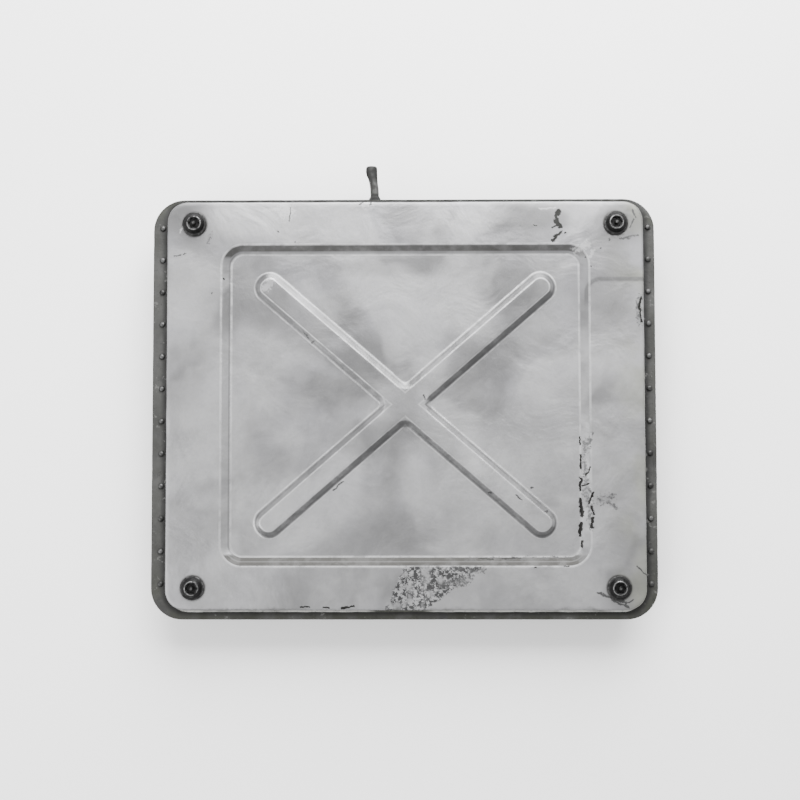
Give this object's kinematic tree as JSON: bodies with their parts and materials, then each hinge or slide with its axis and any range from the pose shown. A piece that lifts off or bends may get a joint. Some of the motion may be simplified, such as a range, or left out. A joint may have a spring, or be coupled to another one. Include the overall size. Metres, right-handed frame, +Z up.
{
  "type": "access cover and frame",
  "caption": "Rectangular screw-down access cover of pressed sheet steel with a sunken panel and raised cross, on a flanged, riveted steel frame with a fixing lug.",
  "frame": {"origin": "centre of the anchor hole pattern, on the underside of the frame's feet", "axes": "+Z up through the cover, +X to the cover's right, +Y towards the rear, where the fixing lug stands out"},
  "size_m": [0.529, 0.479, 0.0671],
  "materials": {
    "galvanised_sheet": "weathered galvanised steel, cloudy grey, semi-matt",
    "frame_steel": "dark weathered steel, dirty, dull",
    "rivet_steel": "dark steel rivet with a worn, bright crown",
    "lug_steel": "dark, scaled steel bar",
    "gasket_rubber": "dusty grey-black foam rubber strip",
    "black_screw": "black oxide steel, worn bright at the recess",
    "black_washer": "black steel washer",
    "seal_rubber": "black rubber ring",
    "zinc_steel": "zinc plated steel"
  },
  "bodies": {
    "frame": {"frame_plate": "frame_steel", "rail_left": "frame_steel", "rail_right": "frame_steel", "wall_front": "frame_steel", "wall_rear": "frame_steel", "rivets_left": "rivet_steel", "rivets_right": "rivet_steel", "fixing_lug": "lug_steel", "gasket": "gasket_rubber", "spacer_rear_left": "zinc_steel", "spacer_rear_right": "zinc_steel", "spacer_front_left": "zinc_steel", "spacer_front_right": "zinc_steel", "nut_rear_left": "zinc_steel", "nut_rear_right": "zinc_steel", "nut_front_left": "zinc_steel", "nut_front_right": "zinc_steel"},
    "cover": {"cover": "galvanised_sheet"},
    "washer_rear_left": {"washer_rear_left": "black_washer", "seal_rear_left": "seal_rubber"},
    "screw_rear_left": {"screw_rear_left": "black_screw"},
    "washer_rear_right": {"washer_rear_right": "black_washer", "seal_rear_right": "seal_rubber"},
    "screw_rear_right": {"screw_rear_right": "black_screw"},
    "washer_front_left": {"washer_front_left": "black_washer", "seal_front_left": "seal_rubber"},
    "screw_front_left": {"screw_front_left": "black_screw"},
    "washer_front_right": {"washer_front_right": "black_washer", "seal_front_right": "seal_rubber"},
    "screw_front_right": {"screw_front_right": "black_screw"}
  },
  "joints": [
    {"name": "cover_lift", "type": "slide", "parent": "frame", "child": "cover", "axis": [0, 0, 1], "range_m": [0, 0.15]},
    {"name": "screw_rear_left_rise", "type": "slide", "parent": "cover", "child": "washer_rear_left", "axis": [0, 0, 1], "range_m": [0, 0.01575]},
    {"name": "screw_rear_left_turn", "type": "hinge", "parent": "washer_rear_left", "child": "screw_rear_left", "pos_m": [-0.221, 0.19, 0.06], "axis": [0, 0, 1], "range_deg": [0, 3240]},
    {"name": "screw_rear_right_rise", "type": "slide", "parent": "cover", "child": "washer_rear_right", "axis": [0, 0, 1], "range_m": [0, 0.01575]},
    {"name": "screw_rear_right_turn", "type": "hinge", "parent": "washer_rear_right", "child": "screw_rear_right", "pos_m": [0.221, 0.19, 0.06], "axis": [0, 0, 1], "range_deg": [0, 3240]},
    {"name": "screw_front_left_rise", "type": "slide", "parent": "cover", "child": "washer_front_left", "axis": [0, 0, 1], "range_m": [0, 0.01575]},
    {"name": "screw_front_left_turn", "type": "hinge", "parent": "washer_front_left", "child": "screw_front_left", "pos_m": [-0.221, -0.19, 0.06], "axis": [0, 0, 1], "range_deg": [0, 3240]},
    {"name": "screw_front_right_rise", "type": "slide", "parent": "cover", "child": "washer_front_right", "axis": [0, 0, 1], "range_m": [0, 0.01575]},
    {"name": "screw_front_right_turn", "type": "hinge", "parent": "washer_front_right", "child": "screw_front_right", "pos_m": [0.221, -0.19, 0.06], "axis": [0, 0, 1], "range_deg": [0, 3240]}
  ],
  "couplings": [
    {"joint": "screw_rear_left_turn", "follows": "screw_rear_left_rise", "rad_per_m": 3590.4},
    {"joint": "screw_rear_right_turn", "follows": "screw_rear_right_rise", "rad_per_m": 3590.4},
    {"joint": "screw_front_left_turn", "follows": "screw_front_left_rise", "rad_per_m": 3590.4},
    {"joint": "screw_front_right_turn", "follows": "screw_front_right_rise", "rad_per_m": 3590.4}
  ]
}
